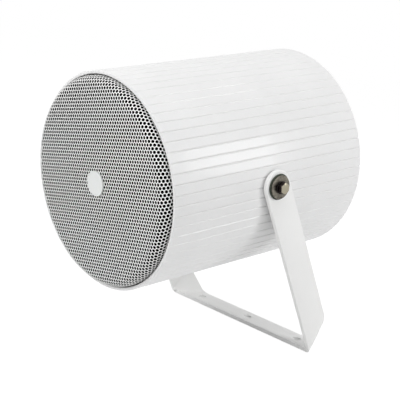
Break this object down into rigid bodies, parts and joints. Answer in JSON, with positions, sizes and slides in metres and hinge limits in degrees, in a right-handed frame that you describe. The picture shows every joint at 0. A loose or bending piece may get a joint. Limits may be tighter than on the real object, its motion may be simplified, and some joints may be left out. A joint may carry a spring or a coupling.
{
  "type": "sound projector",
  "caption": "Round fluted loudspeaker housing with a perforated front cap, hung in a leaning flat-bar bracket that is screwed to a wall.",
  "frame": {"origin": "the middle fixing hole, on the underside of the bracket's crossbar, which lies on the wall", "axes": "+X along the pivot axis, +Z away from the wall, and the speaker looks towards -Y with its nose 11.2 degrees down"},
  "size_m": [0.2276, 0.2818, 0.2857],
  "materials": {
    "white_powder_coat": "semi-gloss powder coat",
    "white_badge": "satin, bare",
    "black_cloth": "fine black acoustic cloth",
    "black_plastic": "moulded, matt",
    "zinc_steel": "zinc plated, dull",
    "black_lacquer": "black lacquer",
    "black_foam": "closed-cell foam",
    "black_rubber": "matt rubber",
    "paper_cone": "pressed paper",
    "bare_aluminium": "mill finish",
    "copper_wire": "enamelled copper wire",
    "impregnated_cloth": "resin-stiffened cotton",
    "ferrite": "ground ferrite",
    "phenolic_board": "phenolic board",
    "laminated_steel": "stacked laminations",
    "wound_bobbin": "taped winding",
    "cream_plastic": "moulded",
    "grey_nylon": "moulded, satin",
    "white_nylon": "cut sheet"
  },
  "bodies": {
    "bracket": {"mounting_bracket": "white_powder_coat"},
    "head": {"housing": "white_powder_coat", "front_grille": "white_powder_coat", "badge": "white_badge", "grille_cloth": "black_cloth", "front_baffle": "black_plastic", "baffle_screws": "zinc_steel", "driver_basket": "black_lacquer", "driver_gasket": "black_foam", "driver_screws": "zinc_steel", "surround": "black_rubber", "spider": "impregnated_cloth", "top_plate": "zinc_steel", "magnet": "ferrite", "back_plate": "zinc_steel", "terminal_strip": "phenolic_board", "rear_cover": "white_powder_coat", "rear_seal": "black_foam", "rear_cover_screws": "zinc_steel", "transformer_core": "laminated_steel", "transformer_bobbin": "wound_bobbin", "transformer_strap": "zinc_steel", "transformer_screws": "zinc_steel", "terminal_block": "cream_plastic", "gland_body": "grey_nylon", "gland_nut": "grey_nylon", "gland_seal": "black_rubber", "gland_locknut": "grey_nylon", "pivot_blocks": "bare_aluminium", "pivot_bolts": "zinc_steel", "spring_washers": "zinc_steel", "flat_washers": "zinc_steel", "rubber_washers": "black_rubber", "inner_washers": "white_nylon"},
    "cone_assembly": {"cone": "paper_cone", "dust_cap": "paper_cone", "voice_coil_former": "bare_aluminium", "voice_coil": "copper_wire"}
  },
  "joints": [
    {"name": "tilt", "type": "hinge", "parent": "bracket", "child": "head", "pos_m": [0, -0.10313, 0.16504], "axis": [1, 0, 0], "continuous": true},
    {"name": "cone_travel", "type": "slide", "parent": "head", "child": "cone_assembly", "axis": [0, -0.981, -0.1942], "range_m": [-0.003, 0.003], "stiffness_N_per_m": 2200, "deforming": ["surround", "spider"]}
  ]
}
